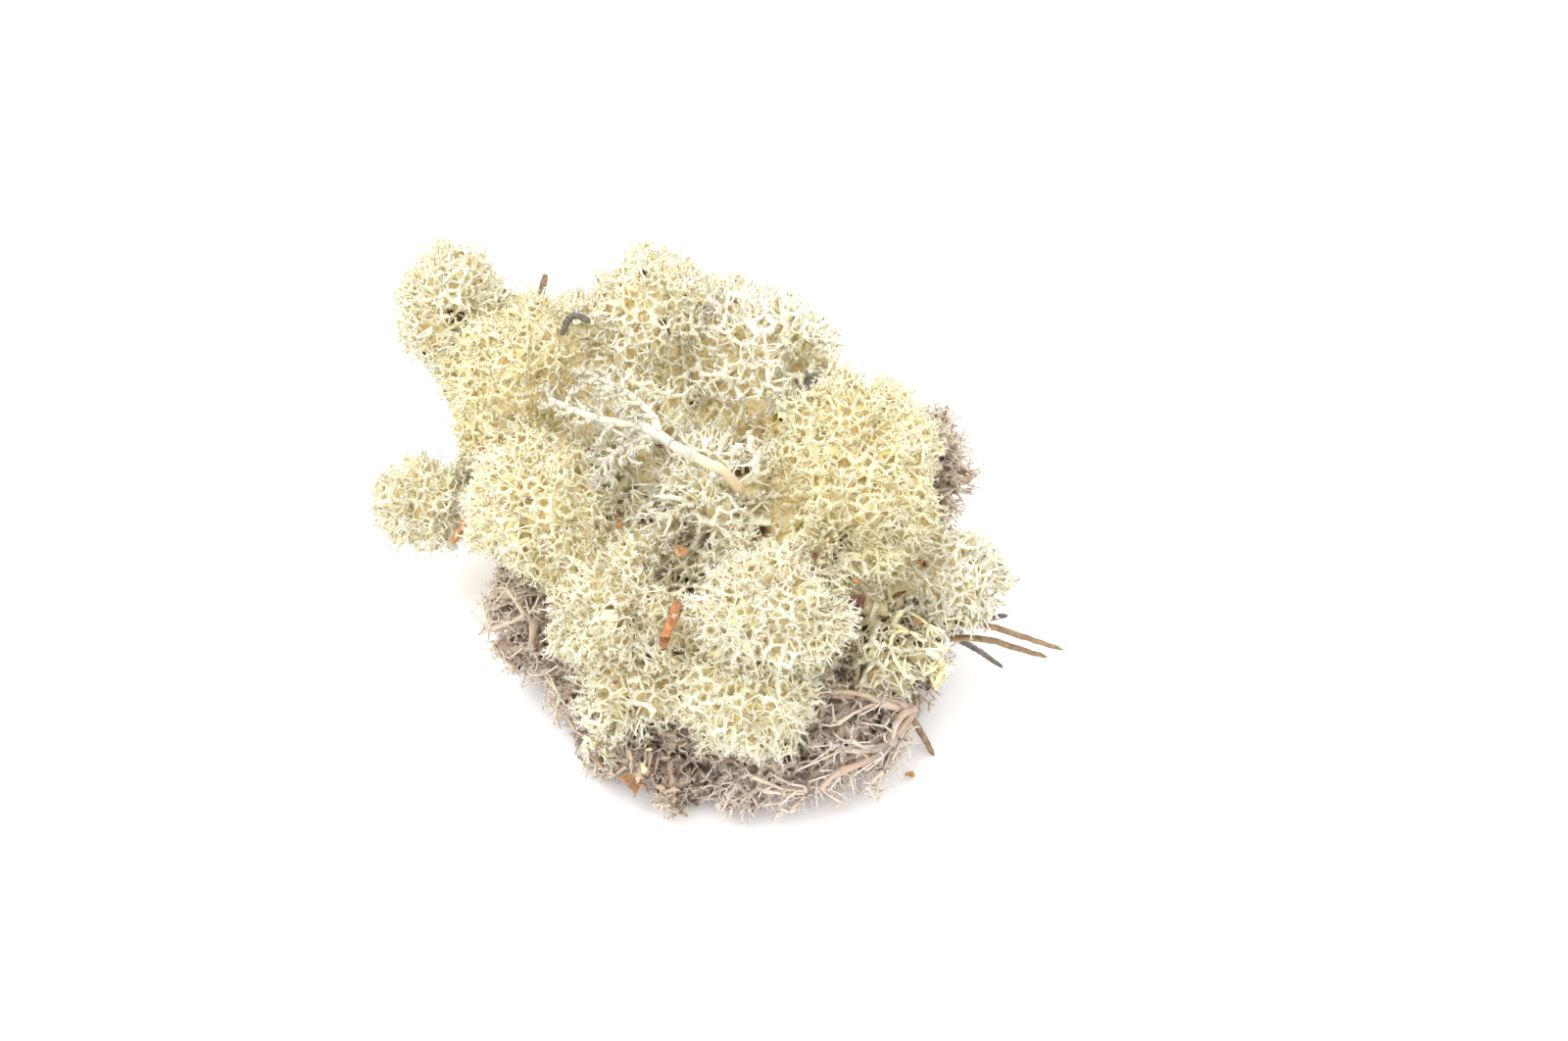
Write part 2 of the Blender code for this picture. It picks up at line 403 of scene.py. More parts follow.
def seeds_of(points, spacings, rng, missing=0.0):
    """Indices of points spread evenly over each plant, wider apart where it is turned down or away."""
    found = []
    seen = NORMALS @ unit(np.array(SEEN_FROM)) > -0.1
    under = NORMALS[:, 2] < -0.55
    for number, spacing in enumerate(spacings):
        for some, stretch in ((seen, 1), (~seen & ~under, HIDDEN_STRETCH), (under, UNDER_STRETCH)):
            found.append(scattered(points, (OWNERS == number) & some, spacing * stretch, rng))
    found = np.concatenate(found)
    return found[rng.random(len(found)) > missing]


# ---------------- nets of branches


@dataclass
class Net:
    """Forks and the branches between them, around holes."""

    forks: np.ndarray
    ways: np.ndarray  # outward at each fork
    owner: np.ndarray  # plant of each fork
    holes: np.ndarray  # middle of each hole
    hole_owner: np.ndarray
    branches: np.ndarray  # (count, 2) forks
    sides: np.ndarray  # (count, 2) holes beside each branch
    heights: np.ndarray = None  # of each fork above or below its storey
    patches: np.ndarray = None  # how much each hole's tone differs from its plant's

    def raised(self):
        """The forks at their own heights."""
        return self.forks + self.ways * self.heights[:, None]


def weave(points, seeds):
    """The net whose holes are the patches of the outline nearest to each seed."""
    label = closest(finder(points[seeds]), points)
    trio = label[TRIS]
    meets = (trio[:, 0] != trio[:, 1]) & (trio[:, 1] != trio[:, 2]) & (trio[:, 0] != trio[:, 2])
    trio = trio[meets]
    forks = points[TRIS[meets]].mean(1)
    ways = unit(NORMALS[TRIS[meets]].sum(1))
    pairs = np.sort(np.concatenate([trio[:, [0, 1]], trio[:, [1, 2]], trio[:, [0, 2]]]), axis=1)
    ends = np.tile(np.arange(len(forks)), 3)
    key = pairs[:, 0] * len(seeds) + pairs[:, 1]
    order = np.argsort(key, kind="stable")
    ends, pairs = ends[order], pairs[order]
    _, first, count = np.unique(key[order], return_index=True, return_counts=True)
    first = first[count == 2]
    branches = np.stack([ends[first], ends[first + 1]], 1)
    holes, weight = np.zeros((len(seeds), 3)), np.zeros(len(seeds))
    for column in range(3):
        np.add.at(holes, trio[:, column], forks)
        np.add.at(weight, trio[:, column], 1)
    holes = np.where(weight[:, None] > 0, holes / np.maximum(weight, 1)[:, None], points[seeds])
    return Net(forks, ways, OWNERS[TRIS[meets][:, 0]], holes, OWNERS[seeds], branches, pairs[first])


def add_net(shape, net, number, layer, tones):
    """The net's branches around the holes of one plant, broad at the forks and thin between them."""
    sides = np.concatenate([net.sides[:, 0], net.sides[:, 1]])
    branch = np.tile(np.arange(len(net.branches)), 2)
    mine = net.hole_owner[sides] == number
    if not mine.any():
        return
    sides, branch = sides[mine], branch[mine]
    ends = net.branches[branch]
    forks, ways = net.raised(), net.ways
    upward = unit(ways[ends].sum(1))
    middle = forks[ends].mean(1) - 0.12 * layer.cell * upward
    hole = net.holes[sides] + upward * net.heights[ends].mean(1)[:, None]

    # half the width of each hole
    reach = np.linalg.norm(middle - hole, axis=1)
    total, weight = np.zeros(len(net.holes)), np.zeros(len(net.holes))
    np.add.at(total, sides, reach)
    np.add.at(weight, sides, 1)
    size = (total / np.maximum(weight, 1) - layer.width)[sides]
    size = np.maximum(size * HOLE_SCALE[sides % len(HOLE_SCALE)], 0.12)

    def rim(place):
        """The place moved sideways to the edge of its hole, and a little in."""
        away = place - hole
        away -= upward * (away * upward).sum(1, keepdims=True)
        far = np.linalg.norm(away, axis=1)
        inner = np.minimum(size, np.maximum(far - layer.width, 0.3 * far))
        return place + away / np.maximum(far, 1e-6)[:, None] * (inner - far)[:, None] - upward * 0.1

    # each branch has three cross-sections of three points: crest, rim of the hole, keel
    rise, fall = layer.width, layer.width * 1.5
    rows = []
    one, two = ends.T
    for place, way in ((forks[one], ways[one]), (middle, upward), (forks[two], ways[two])):
        rows.append(np.stack([place + way * rise, rim(place), place - way * fall], 1))
    verts = np.stack(rows, 1)
    turned = np.einsum("ij,ij->i", np.cross(rows[0][:, 0] - hole, rows[2][:, 0] - hole), upward) < 0
    verts[turned] = verts[turned][:, ::-1]
    grid = np.arange(len(sides))[:, None, None] * 9
    cells = np.array([[first + 3, first + 4, first + 1, first] for first in (0, 1, 3, 4)])
    deep = (layer.depth + np.array([0.0, 0.5, 0.9])) / AGE_SPAN
    age = np.broadcast_to(deep[None, None], (len(sides), 3, 3)).ravel()
    shape.add(verts.reshape(-1, 3), age, np.repeat(tones[sides], 9), (grid + cells).reshape(-1, 4))


# ---------------- long branches


@dataclass
class Tree:
    """Forks and tips: each has a place, the fork below it and the number of tips it carries."""

    places: list
    parents: list
    loads: list

    def add(self, place, parent, load):
        self.places.append(place)
        self.parents.append(parent)
        self.loads.append(load)
        return len(self.places) - 1


def split(points, groups, rng):
    """Splits points into that many groups by nearness."""
    seeds = points[rng.choice(len(points), groups, replace=False)]
    for _ in range(4):
        label = ((points[:, None] - seeds[None]) ** 2).sum(2).argmin(1)
        members = [points[label == k] for k in range(groups)]
        seeds = np.array([some.mean(0) if len(some) else seed for some, seed in zip(members, seeds)])
    return [np.flatnonzero(label == k) for k in range(groups) if (label == k).any()]


def fork(tips, outward, root, style, rng):
    """Joins the tips fork by fork down to the root."""
    tree = Tree([], [], [])
    tree.add(root, -1, len(tips))
    waiting = [(np.arange(len(tips)), 0)]
    while waiting:
        members, below = waiting.pop()
        if len(members) <= 3:
            groups = [np.array([k]) for k in range(len(members))]
        else:
            groups = split(tips[members], int(rng.integers(2, 4)) if len(members) > 6 else 2, rng)
        for group in groups:
            some = members[group]
            if len(some) == 1:
                tree.add(tips[some[0]], below, 1)
                continue
            middle = tips[some].mean(0)
            radius = math.sqrt(((tips[some] - middle) ** 2).sum(1).mean())
            way = middle - tree.places[below]
            reach = np.linalg.norm(way)
            lean = unit(0.75 * way / max(reach, 1e-6) + 0.25 * unit(outward[some].mean(0)))
            place = middle - lean * min(style.fork_depth * radius, 0.72 * reach)
            waiting.append((some, tree.add(place, below, len(some))))
    return tree


def draw_tree(shape, tree, style, tone, rng):
    """Tubes along a tree's branches, with stars on its tips and on short side twigs."""
    places, parents = np.array(tree.places), np.array(tree.parents)
    places[:, 2] = np.maximum(places[:, 2], LOWEST_FORK)
    loads = np.array(tree.loads, float)
    length = np.linalg.norm(places - places[parents], axis=1)
    heading = unit(places - places[parents])
    heading[0] = (0, 0, 1)
    height = np.zeros(len(places))
    for k in range(len(places) - 1, 0, -1):
        height[parents[k]] = max(height[parents[k]], height[k] + length[k])
    age = np.minimum(height / AGE_SPAN, 1) * 0.4
    start = places[np.maximum(parents, 0)]
    bend = (start + places) / 2 + 0.22 * length[:, None] * (heading[parents] - heading)
    bend += 0.12 * length[:, None] * rng.standard_normal(places.shape)
    radius = np.minimum(style.long_radius * loads**0.38, style.stoutest)
    radii = np.stack([1.5 * radius, 0.85 * radius, 1.35 * radius], 1)
    last = loads == 1
    radii[last, 2] = style.tip_radius * 1.3
    shade = tone + 0.1 * rng.standard_normal(len(places))
    ages = np.stack([age[parents], age], 1)
    branch = np.arange(len(places)) > 0
    curves = (start, bend, places, radii, ages, shade)
    # (sides, steps, radius from, radius to): the thicker a branch, the rounder its tube
    for sides, steps, thinnest, thickest in ((4, 2, 0, 0.25), (5, 3, 0.25, 0.4), (7, 5, 0.4, 9)):
        some = branch & (radius >= thinnest) & (radius < thickest)
        add_tubes(shape, *(values[some] for values in curves), sides, steps, rng)
    ends = np.flatnonzero(last & branch)
    add_stars(shape, places[ends], heading[ends], age[ends], shade[ends], style, rng)
    halfway = np.flatnonzero(branch & (length > 1.2))
    sprout = unit(np.cross(heading[halfway], rng.standard_normal((len(halfway), 3))) + 0.6 * heading[halfway])
    hubs = bend[halfway] + sprout * rng.uniform(0.5, 1.1, len(halfway))[:, None]
    hubs[:, 2] = np.maximum(hubs[:, 2], LOWEST_FORK)
    width = np.array([1.6, 1.0, 0.9]) * style.twig_radius
    near = (start[halfway] + 2 * bend[halfway] + places[halfway]) / 4
    add_tubes(shape, near, (near + hubs) / 2, hubs, width, ages[halfway], shade[halfway], 3, 1, rng)
    add_stars(shape, hubs, sprout, age[halfway], shade[halfway], style, rng)


def add_long_branches(shape, number, style, root, tone, rng):
    """Long branches that fork from the plant's root out to stars at its outline."""
    sunk = sunk_by(style.long_depth, LONG_SHARE)
    chosen = scattered(sunk, (OWNERS == number) & (NORMALS[:, 2] > -0.6), style.long_tips, rng)
    tips = sunk[chosen] - NORMALS[chosen] * (1.2 * rng.random(len(chosen)) ** 2)[:, None]
    draw_tree(shape, fork(tips, NORMALS[chosen], root, style, rng), style, tone, rng)


def add_spray(shape, spray, root, tone, rng):
    """Long branches that fork their way over the outline, from one root to tips within reach of it."""
    numbers = [list(PLANTS).index(name) for name in spray.over]
    away = np.linalg.norm(OUTLINE - root, axis=1)
    ahead = (OUTLINE - root) @ unit(np.array(spray.way, float)) > 0.3 * away
    ahead &= (away > 0.2 * spray.reach) & (away < spray.reach)
    mine = np.isin(OWNERS, numbers) & (NORMALS[:, 2] > -0.4)
    chosen = scattered(OUTLINE, mine & ahead, spray.spacing, rng)
    tree = fork(OUTLINE[chosen], NORMALS[chosen], root, spray.style, rng)
    for k in range(1, len(tree.places)):
        spot, normal, _, _ = OUTLINE_TREE.find_nearest(tree.places[k].tolist())
        tree.places[k] = np.array(spot) + np.array(normal) * (spray.lift + rng.uniform(-0.4, 0.7))
    draw_tree(shape, tree, spray.style, tone, rng)


# ---------------- meshes


class Shape:
    """Collects vertices with age and tone, and faces, of one piece."""

    def __init__(self):
        self.verts, self.faces, self.age, self.tone, self.total = [], [], [], [], 0

    def add(self, verts, age, tone, *faces):
        """Each array of faces indexes into verts."""
        self.verts.append(verts)
        self.age.append(age)
        self.tone.append(tone)
        self.faces += [some + self.total for some in faces]
        self.total += len(verts)

    def build(self, name, finish, by_age):
        """The object, with its ages and tones as a UV map where its finish goes by them."""
        mesh = bpy.data.meshes.new(name)
        verts = np.concatenate(self.verts) * MM
        verts[:, 2] = np.maximum(verts[:, 2], 0)
        mesh.vertices.add(len(verts))
        mesh.vertices.foreach_set("co", verts.astype(np.float32).ravel())
        index = np.concatenate([faces.ravel() for faces in self.faces]).astype(np.int32)
        sizes = np.concatenate([np.full(len(faces), faces.shape[1]) for faces in self.faces]).astype(np.int32)
        mesh.loops.add(len(index))
        mesh.loops.foreach_set("vertex_index", index)
        mesh.polygons.add(len(sizes))
        starts = np.concatenate([[0], np.cumsum(sizes)[:-1]]).astype(np.int32)
        mesh.polygons.foreach_set("loop_start", starts)
        mesh.polygons.foreach_set("use_smooth", np.ones(len(sizes), bool))
        mesh.update(calc_edges=True)
        if by_age:
            spots = np.stack([np.concatenate(self.age), np.concatenate(self.tone)], 1)
            spots += 0.012 * np.random.default_rng(1).uniform(-1, 1, spots.shape)
            layer = mesh.uv_layers.new(name="OFBake")
            spots = 0.02 + 0.96 * np.clip(spots, 0, 1)
            layer.uv.foreach_set("vector", spots[index].astype(np.float32).ravel())
        mesh.materials.append(finish)
        return add_object(name, mesh)


def ring_quads(rings, sides, apart=0):
    """Quads between closed rings of vertices, that far apart in the list or else one after the other."""
    here = np.arange(rings - 1)[:, None] * sides + np.arange(sides)
    after = np.arange(rings - 1)[:, None] * sides + (np.arange(sides) + 1) % sides
    apart = apart or sides
    return np.stack([here, after, after + apart, here + apart], -1).reshape(-1, 4)


def fan(hub, first, sides):
    """Triangles between a hub and the ring that starts at the first vertex."""
    return np.array([[hub, first + k, first + (k + 1) % sides] for k in range(sides)])


def add_tubes(shape, start, bend, end, radii, ages, tones, sides, steps, rng):
    """Tubes along quadratic curves, with radii at the start, middle and end, and ages at both ends."""
    count = len(start)
    if count == 0:
        return
    radii, ages = np.broadcast_to(radii, (count, 3)), np.broadcast_to(ages, (count, 2))
    t = np.linspace(0, 1, steps + 1)[None, :, None]
    line = (1 - t) ** 2 * start[:, None] + 2 * t * (1 - t) * bend[:, None] + t**2 * end[:, None]
    along = unit((1 - t) * (bend - start)[:, None] + t * (end - bend)[:, None])
    side = unit(np.cross(along, unit(rng.standard_normal((count, 1, 3)))))
    other = np.cross(along, side)
    flat = t[..., 0]
    radius = radii[:, :1] * (1 - flat) * (1 - 2 * flat) + radii[:, 1:2] * 4 * flat * (1 - flat)
    radius = radius + radii[:, 2:] * flat * (2 * flat - 1)
    turn = np.arange(sides) * 2 * math.pi / sides
    ring = np.cos(turn)[:, None] * side[:, :, None] + np.sin(turn)[:, None] * other[:, :, None]
    verts = line[:, :, None] + ring * radius[:, :, None, None]
    size = (steps + 1) * sides
    quads = (np.arange(count)[:, None, None] * size + ring_quads(steps + 1, sides)).reshape(-1, 4)
    age = ages[:, :1] * (1 - flat) + ages[:, 1:] * flat
    shape.add(verts.reshape(-1, 3), np.repeat(age.ravel(), sides), np.repeat(tones, size), quads)


def add_stars(shape, hubs, ways, ages, tones, style, rng, dotted=0.0):
    """A star of short pointed prongs on each hub."""
    ages = np.broadcast_to(ages, len(hubs))
    numbers = rng.integers(style.prongs[0], style.prongs[1] + 1, len(hubs))
    owner = np.repeat(np.arange(len(hubs)), numbers)
    order = np.arange(len(owner)) - np.repeat(np.cumsum(numbers) - numbers, numbers)
    way = ways[owner]
    side = unit(np.cross(ways, unit(rng.standard_normal(ways.shape))))[owner]
    other = np.cross(way, side)
    count = len(owner)
    turn = 2 * math.pi * (order + 0.35 * rng.standard_normal(count)) / numbers[owner]
    lean = np.radians(style.prong_spread + 14 * rng.standard_normal(count))
    sideways = np.cos(turn)[:, None] * side + np.sin(turn)[:, None] * other
    prong = unit(np.cos(lean)[:, None] * way + np.sin(lean)[:, None] * sideways)
    length = style.prong_length * (0.75 + 0.5 * rng.random(count))
    foot = hubs[owner]
    across = unit(np.cross(prong, sideways + 0.3 * way))
    over = np.cross(prong, across)
    corner = np.arange(3) * 2 * math.pi / 3
    ring = np.cos(corner)[:, None] * across[:, None] + np.sin(corner)[:, None] * over[:, None]
    base = foot[:, None] + ring * style.tip_radius * 1.15
    tip = foot + prong * length[:, None]
    verts = np.concatenate([base, tip[:, None]], 1).reshape(-1, 3)
    first = np.arange(count)[:, None] * 4
    faces = np.concatenate([first + np.array([[k, (k + 1) % 3, 3]]) for k in range(3)])
    brown = rng.random(len(hubs)) < dotted
    tip_age = np.where(brown, 1.0, ages)[owner]
    foot_age = np.where(brown[owner], 0.78, ages[owner] + 0.05)
    age = np.stack([foot_age] * 3 + [tip_age], 1)
    shape.add(verts, age.ravel(), np.repeat(tones[owner], 4), faces)


def grow(number, node, style, root_place, tone):
    """The whole branching mesh of one plant."""
    rng = np.random.default_rng(100 + number)
    shape = Shape()
    if style.long_tips:
        add_long_branches(shape, number, style, spot_in(node, root_place), tone, rng)
    for layer, net in zip(style.layers, NETS):
        tones = tone + net.patches + 0.06 * rng.standard_normal(len(net.holes))
        add_net(shape, net, number, layer, tones)

    outer, inner = NETS
    mine = np.flatnonzero(outer.owner == number)
    forks, ways = outer.raised()[mine], outer.ways[mine]
    shade = tone + 0.12 * rng.standard_normal(len(mine))
    top_age, low_age = (layer.depth / AGE_SPAN for layer in style.layers)

    # stems down to the storey below
    under = inner.raised()[closest(INNER_FINDER, forks - ways * 2)]
    near = np.linalg.norm(under - forks, axis=1) < 7
    bend = (forks + under) / 2 + 0.3 * rng.standard_normal(forks.shape)
    width = np.array([1.6, 1.0, 1.1]) * style.layers[0].width
    add_tubes(shape, under[near], bend[near], forks[near], width, (low_age, top_age), shade[near], 4, 1, rng)

    # twigs that end in stars
    lean = (forks - TUFT_MIDDLES[TUFTS_OF_FORKS[mine]]) / style.tuft
    heading = unit(ways + 0.8 * lean + 0.45 * rng.standard_normal(ways.shape))
    hubs = forks + heading * rng.uniform(*style.twig, len(mine))[:, None]
    hubs[:, 2] = np.maximum(hubs[:, 2], LOWEST_TIP)
    bend = (forks + hubs) / 2 + 0.12 * rng.standard_normal(forks.shape)
    width = np.array([1.5, 1.0, 0.9]) * style.twig_radius
    add_tubes(shape, forks, bend, hubs, width, (top_age, 0.0), shade, 3, 1, rng)
    if node in SPRAYS:
        add_spray(shape, SPRAYS[node], spot_in(node, SPRAYS[node].root), tone, rng)
    dotted = DOTTED.get(node, 0.02)
    add_stars(shape, hubs, heading, 0.0, shade, style, rng, dotted)

    # small stars along the branches between the forks
    fine = (outer.owner[outer.branches[:, 0]] == number) & (rng.random(len(outer.branches)) < SIDE_STARS)
    ends = outer.branches[fine]
    way = unit(outer.ways[ends].sum(1))
    heading = unit(way + 0.6 * rng.standard_normal(way.shape))
    shade = tone + 0.12 * rng.standard_normal(len(ends))
    few = replace(style, prongs=(2, 4))
    add_stars(shape, outer.raised()[ends].mean(1), heading, 0.02, shade, few, rng, dotted)
    return shape


def inner_growth(name, living_finish, dead_and_hollow_shade_finish):
    """The old growth under the branches: the outline drawn in little by little, with a rough surface."""
    depths = np.array([style.core for style in STYLES])[OWNERS]
    wanted = np.minimum(depths + FURROW, CORE_SHARES[1] * THROUGH)
    shallowest = np.minimum(depths - 1.0 + FURROW, CORE_SHARES[0] * THROUGH)
    outline = finder(OUTLINE)
    rough = remeshed("rough", (OUTLINE * MM).tolist(), TRIS.tolist(), CORE_VOXEL * MM, 2)
    for _ in range(CORE_STEPS):
        points, normals = read(rough.data.vertices, "co"), read(rough.data.vertices, "normal")
        points -= normals * wanted[closest(outline, points / MM)][:, None] * MM / CORE_STEPS
        rough.data.vertices.foreach_set("co", points.ravel())
        rough.data.update()
        done = bpy.data.meshes.new_from_object(evaluated(rough))
        rough.data = done
    bpy.data.objects.remove(rough)
    done.name = name

    points, normals = read(done.vertices, "co"), read(done.vertices, "normal")
    # bumps, and pits here and there
    relief = np.array([noise.noise(Vector(point) / 1.9) for point in points / MM])
    pits = np.array([noise.noise(Vector(point) / 3.1 + Vector((9, 9, 9))) for point in points / MM])
    points += normals * (relief - 9 * np.maximum(pits - 0.28, 0))[:, None] * MM
    nearest = closest(outline, points / MM)
    depth = np.linalg.norm(OUTLINE[nearest] - points / MM, axis=1)
    points -= NORMALS[nearest] * np.maximum(shallowest[nearest] - depth, 0)[:, None] * MM
    points[:, 2] = np.maximum(points[:, 2], 0.4 * MM)
    done.vertices.foreach_set("co", points.ravel())
    done.materials.append(living_finish)
    done.materials.append(dead_and_hollow_shade_finish)
    # dead plants take the dark dead finish as their own colour; the old growth at the bottom of deep hollows
    # takes it as painted shade
    dead = np.array([node.startswith("dead") for node in PLANTS])[OWNERS] | (HOLLOW > SHADED_HOLLOW_DEPTH)
    dead = dead[nearest].tolist()
    done.polygons.foreach_set("material_index", [dead[face.vertices[0]] for face in done.polygons])
    piece = add_object(name, done)
    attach(piece, "root")


# ---------------- materials


def new_finish(name):
    """A new material, its node tree and its shader."""
    made = bpy.data.materials.new(name)
    made.use_nodes = True
    return made, made.node_tree, made.node_tree.nodes["Principled BSDF"]


def set_inputs(tree, node, inputs):
    """Sets each input to a value, or links it from another node's output."""
    for name, value in inputs.items():
        if isinstance(value, bpy.types.NodeSocket):
            tree.links.new(value, node.inputs[name])
        else:
            node.inputs[name].default_value = value


def add_node(tree, kind, inputs):
    """A new node with those inputs."""
    node = tree.nodes.new("ShaderNode" + kind)
    set_inputs(tree, node, inputs)
    return node


def ramp(tree, factor, stops):
    """The colour at the factor, between stops of (place, colour)."""
    node = add_node(tree, "ValToRGB", {0: factor})
    elements = node.color_ramp.elements
    for element, (place, colour) in zip(elements, (stops[0], stops[-1])):
        element.position = place
        element.color = (*colour, 1)
    for place, colour in stops[1:-1]:
        elements.new(place).color = (*colour, 1)
    return node.outputs["Color"]


def lichen_finish(name, stops, yellow, roughness):
    """Colour by age along the branch, from the tip's to the root's, then shifted by tone toward yellow."""
    made, tree, shader = new_finish(name)
    spot = tree.nodes.new("ShaderNodeUVMap")
    spot.uv_map = "OFBake"
    parts = add_node(tree, "SeparateXYZ", {0: spot.outputs["UV"]})
    tint = tree.nodes.new("ShaderNodeMix")
    tint.data_type = "RGBA"
    tint.blend_type = "MULTIPLY"
    colour = ramp(tree, parts.outputs["X"], stops)
    set_inputs(tree, tint, {"Factor": parts.outputs["Y"], "A": colour, "B": (*yellow, 1)})
    set_inputs(tree, shader, {
        "Base Color": tint.outputs["Result"],
        "Roughness": roughness,
        "Specular IOR Level": 0.25,
        "Subsurface Weight": 0.5,
        "Subsurface Radius": (1.0, 0.8, 0.45),
        "Subsurface Scale": 0.0015,
    })
    return made


def tangle_finish(name, light, dark, scale):
    """A tangle of old branches: pale strands over gaps painted dark as shade, with near-black blotches of
    painted shade for the darkest holes.
    """
    made, tree, shader = new_finish(name)
    where = tree.nodes.new("ShaderNodeTexCoord").outputs["Object"]
    cells = tree.nodes.new("ShaderNodeTexVoronoi")
    cells.feature = "DISTANCE_TO_EDGE"
    set_inputs(tree, cells, {"Scale": scale, "Vector": where})
    edges = {"Value": cells.outputs["Distance"], "From Min": 0.06, "From Max": 0.3, "To Min": 1, "To Max": 0}
    strands = add_node(tree, "MapRange", edges).outputs["Result"]
    cloud = add_node(tree, "TexNoise", {"Scale": scale / 4, "Detail": 4, "Vector": where})
    # low in the gaps between the strands, which the ramp paints dark as shade
    gap_shade_mix = tree.nodes.new("ShaderNodeMath")
    gap_shade_mix.operation = "MULTIPLY"
    set_inputs(tree, gap_shade_mix, {0: strands, 1: cloud.outputs["Fac"]})
    # blotches of near-black brown: painted shade for the darkest holes, since this old growth shows only
    # through the holes
    blotch = add_node(tree, "TexNoise", {"Scale": scale / 5, "Vector": where})
    shade_blotches = add_node(tree, "MapRange", {"Value": blotch.outputs["Fac"], "From Min": 0.6, "From Max": 0.68})
    mixed = tree.nodes.new("ShaderNodeMix")
    mixed.data_type = "RGBA"
    set_inputs(tree, mixed, {
        "Factor": shade_blotches.outputs["Result"],
        "A": ramp(tree, gap_shade_mix.outputs[0], [(0.0, dark), (0.5, light)]),
        "B": (0.10, 0.055, 0.03, 1),
    })
    bump = add_node(tree, "Bump", {"Strength": 0.6, "Distance": 0.0005, "Height": strands})
    set_inputs(tree, shader, {
        "Base Color": mixed.outputs["Result"],
        "Normal": bump.outputs["Normal"],
        "Roughness": 0.95,
    })
    return made


def woody_finish(name, light, dark, scale, stretch, roughness):
    """Streaked plant matter: fine lengthwise fibres and a rough surface."""
    made, tree, shader = new_finish(name)
    where = tree.nodes.new("ShaderNodeTexCoord").outputs["Object"]
    squeeze = add_node(tree, "Mapping", {"Vector": where, "Scale": (1, stretch, stretch)}).outputs["Vector"]
    grain = {"Vector": squeeze, "Scale": scale, "Detail": 6, "Roughness": 0.65}
    fibres = add_node(tree, "TexNoise", grain).outputs["Fac"]
    bump = add_node(tree, "Bump", {"Strength": 0.5, "Distance": 0.0003, "Height": fibres})
    set_inputs(tree, shader, {
        "Base Color": ramp(tree, fibres, [(0.35, dark), (0.66, light)]),
        "Normal": bump.outputs["Normal"],
        "Roughness": roughness,
    })
    return made


# ---------------- twigs, needles and flakes


def axes_of(points):
    """The directions in which points spread most, less and least."""
    return np.linalg.svd(points - points.mean(0), full_matrices=False)[2]


def centre_line(node, count=7):
    """Points along the middle of a strand of the frame, from its thicker end."""
    points = solid(node)[0]
    rows = axes_of(points)
    along = points @ rows[0]
    edges = np.linspace(along.min() - 1e-6, along.max() + 1e-6, count + 1)
    bins = [points[(along >= low) & (along <= high)] for low, high in zip(edges, edges[1:])]
    line = np.array([some.mean(0) for some in bins if len(some) > 2])
    spread = [np.ptp(some @ rows[1]) for some in (bins[0], bins[-1])]
    return line if spread[0] >= spread[1] else line[::-1]


def smooth_path(points, per_span=5):
    """A Catmull-Rom curve through the points."""
    points = np.asarray(points, float)
    padded = np.concatenate([[2 * points[0] - points[1]], points, [2 * points[-1] - points[-2]]])
    t = np.arange(per_span)[:, None] / per_span
    spans = []
    for a, b, c, d in zip(padded, padded[1:], padded[2:], padded[3:]):
        bend, twist = 2 * a - 5 * b + 4 * c - d, 3 * b - a - 3 * c + d
        spans.append(0.5 * (2 * b + (c - a) * t + bend * t**2 + twist * t**3))
    return np.concatenate([*spans, points[-1:]])


def add_rod(shape, path, radii, ages, tone, sides=8, flatness=1.0, groove=0.0, bumps=0.0, rng=None):
    """A closed rod along a path, whose section may be flattened and grooved."""
    path = np.asarray(path, float)
    along = unit(np.gradient(path, axis=0))
    side = unit(np.cross(along, (0.13, 0.21, 1.0)))
    up = np.cross(side, along)
    spots = np.linspace(0, 1, len(path))
    radii = np.interp(spots, np.linspace(0, 1, len(radii)), radii)
    if bumps:
        radii = radii * (1 + bumps * rng.standard_normal(len(path)))
    turn = np.arange(sides) * 2 * math.pi / sides
    reach = 1 - groove * np.maximum(np.sin(turn), 0) ** 6
    wide, high = np.cos(turn) * reach, np.sin(turn) * reach * flatness
    ring = wide[:, None] * side[:, None] + high[:, None] * up[:, None]
    verts = path[:, None] + ring * radii[:, None, None]
    ages = np.interp(spots, np.linspace(0, 1, len(ages)), ages)
    every = len(path) * sides
    caps = np.concatenate([fan(every, 0, sides)[:, [0, 2, 1]], fan(every + 1, every - sides, sides)])
    points = np.concatenate([verts.reshape(-1, 3), path[:1], path[-1:]])
    age = np.concatenate([np.repeat(ages, sides), ages[:1], ages[-1:]])
    shape.add(points, age, np.full(len(points), tone), ring_quads(len(path), sides), caps)


def finish_piece(shape, name, finish, slot, *nodes):
    """Builds the piece that takes the place of those nodes."""
    piece = shape.build(name, finish, finish in (LIVING_FINISH, DEAD_FINISH, IVORY_FINISH))
    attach(piece, "root")
    if nodes:
        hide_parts(*nodes)


def needle(node, radius, finish, slot, rng):
    """A pointed needle with a groove along it."""
    shape = Shape()
    line = centre_line(node)
    foot, tip = line[0] + 0.3 * (line[0] - line[1]), line[-1] + 0.3 * (line[-1] - line[-2])
    path = smooth_path([foot, *line, tip])
    path += 0.04 * rng.standard_normal(path.shape)
    radii = 1.3 * radius * np.array([0.8, 1.0, 1.0, 1.0, 1.0, 1.0, 0.95, 0.75, 0.15])
    add_rod(shape, path, radii, (0.1, 0.5, 0.9), rng.random(), 10, 0.75, 0.4)
    finish_piece(shape, node + "_grooved", finish, slot, node)


